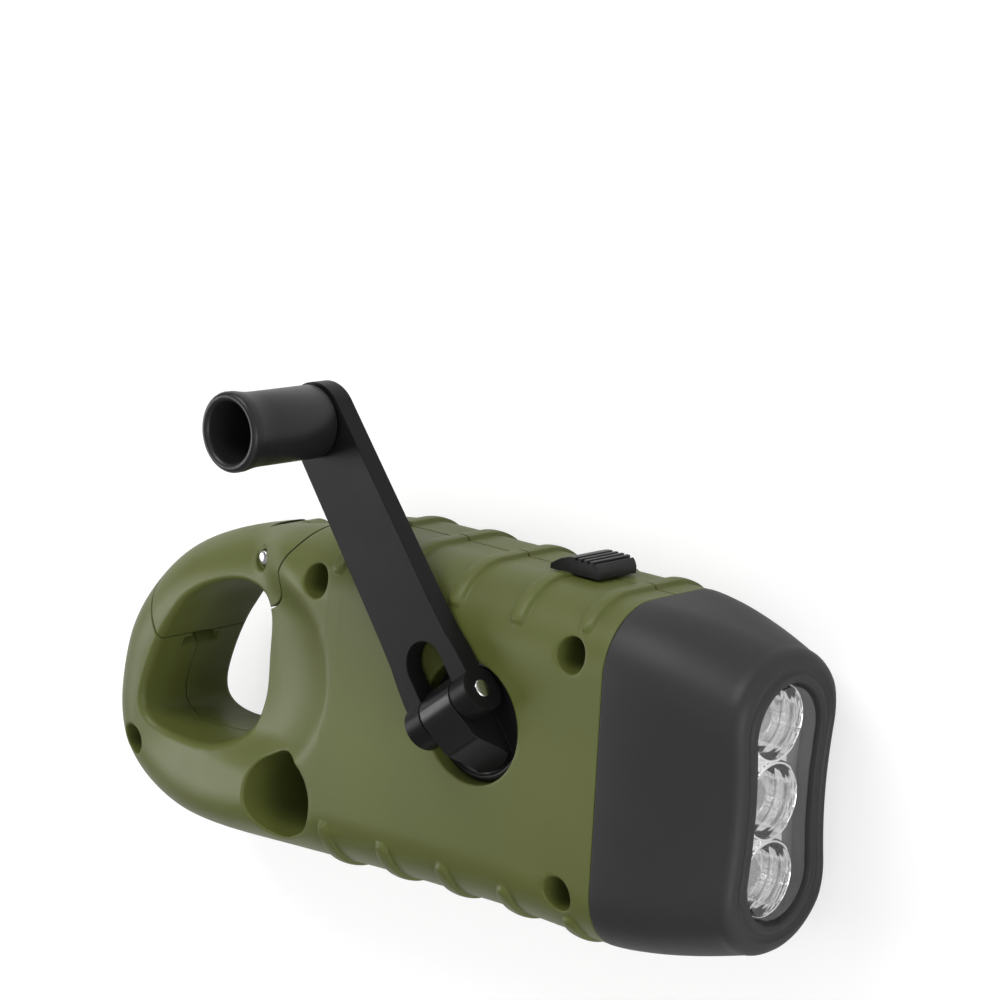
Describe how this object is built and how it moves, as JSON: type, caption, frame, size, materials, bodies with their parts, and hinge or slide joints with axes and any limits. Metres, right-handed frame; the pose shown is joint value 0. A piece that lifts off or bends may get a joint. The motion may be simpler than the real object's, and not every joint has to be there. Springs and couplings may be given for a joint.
{
  "type": "hand crank flashlight",
  "caption": "Bar flashlight with a fold-out crank, geared dynamo, lamp window, slide switch and a carabiner loop with a sprung gate.",
  "frame": {"origin": "on the flat back face, on the centre line of the body, level with the crank axis", "axes": "+X towards the lamps, +Y towards the slide switch, +Z out of the face that carries the crank"},
  "size_m": [0.1315, 0.0763, 0.0491],
  "materials": {
    "green_plastic": "olive green satin moulded plastic",
    "head_plastic": "dark grey satin moulded plastic",
    "arm_plastic": "black satin moulded plastic",
    "hub_plastic": "glossy black moulded plastic",
    "steel": "bright steel",
    "reflector_chrome": "vacuum plated reflector",
    "clear_plastic": "clear polished plastic",
    "gear_plastic": "natural white acetal",
    "circuit_board": "green lacquered circuit board",
    "copper_winding": "enamelled copper winding",
    "magnet": "sintered ferrite",
    "lead_insulation": "flexible insulation"
  },
  "bodies": {
    "housing": {"shell_crank_side": "green_plastic", "shell_back_side": "green_plastic", "head_cover": "head_plastic", "lamp_lens": "clear_plastic", "reflector": "reflector_chrome", "led_1": "clear_plastic", "led_2": "clear_plastic", "led_3": "clear_plastic", "led_board": "circuit_board", "gate_pin": "steel", "first_axle": "steel", "second_axle": "steel", "gear_plate": "gear_plastic", "plate_screw_1": "steel", "plate_screw_2": "steel", "plate_screw_3": "steel", "dynamo_coil": "copper_winding", "dynamo_can": "steel", "button_cell_1": "steel", "button_cell_2": "steel", "button_cell_3": "steel", "main_board": "circuit_board", "slide_switch": "arm_plastic", "lamp_lead_1": "lead_insulation", "lamp_lead_2": "lead_insulation", "dynamo_lead_1": "lead_insulation", "dynamo_lead_2": "lead_insulation", "shell_screw_rear": "steel", "shell_screw_front_upper": "steel", "shell_screw_front_lower": "steel", "shell_screw_loop": "steel"},
    "gate": {"carabiner_gate": "green_plastic", "gate_spring": "steel"},
    "hub": {"crank_hub": "hub_plastic", "main_gear": "gear_plastic"},
    "arm": {"crank_arm": "arm_plastic", "hinge_pin": "steel", "knob_screw": "steel"},
    "knob": {"crank_knob": "arm_plastic"},
    "slider": {"switch_slider": "arm_plastic"},
    "first_gear": {"first_gear": "gear_plastic"},
    "second_gear": {"second_gear": "gear_plastic"},
    "rotor": {"dynamo_rotor": "magnet"}
  },
  "joints": [
    {"name": "crank_spin", "type": "hinge", "parent": "housing", "child": "hub", "pos_m": [0, 0.0034, 0.0273], "axis": [0, 0, 1], "continuous": true},
    {"name": "crank_fold", "type": "hinge", "parent": "hub", "child": "arm", "pos_m": [-0.00154, 0.00537, 0.03095], "axis": [0.788, 0.6157, 0], "range_deg": [0, 180]},
    {"name": "knob_spin", "type": "hinge", "parent": "arm", "child": "knob", "pos_m": [-0.02986, 0.04162, 0.0402], "axis": [0, 0, 1], "continuous": true},
    {"name": "gate_swing", "type": "hinge", "parent": "housing", "child": "gate", "pos_m": [-0.0498, 0.0163, 0.0145], "axis": [0, 0, 1], "range_deg": [0, 28], "stiffness_Nm_per_rad": 0.05, "springref_deg": -5.73},
    {"name": "switch_slide", "type": "slide", "parent": "housing", "child": "slider", "axis": [1, 0, 0], "range_m": [0, 0.0035]},
    {"name": "first_gear_spin", "type": "hinge", "parent": "housing", "child": "first_gear", "pos_m": [-0.01995, 0.0034, 0.02], "axis": [0, 0, 1], "continuous": true},
    {"name": "second_gear_spin", "type": "hinge", "parent": "housing", "child": "second_gear", "pos_m": [-0.01638, -0.00993, 0.017], "axis": [0, 0, 1], "continuous": true},
    {"name": "rotor_spin", "type": "hinge", "parent": "housing", "child": "rotor", "pos_m": [-0.00542, -0.00897, 0.01], "axis": [0, 0, 1], "continuous": true}
  ],
  "couplings": [
    {"joint": "first_gear_spin", "follows": "crank_spin", "ratio": -3.75},
    {"joint": "second_gear_spin", "follows": "crank_spin", "ratio": 13.5},
    {"joint": "rotor_spin", "follows": "crank_spin", "ratio": -45.9}
  ]
}
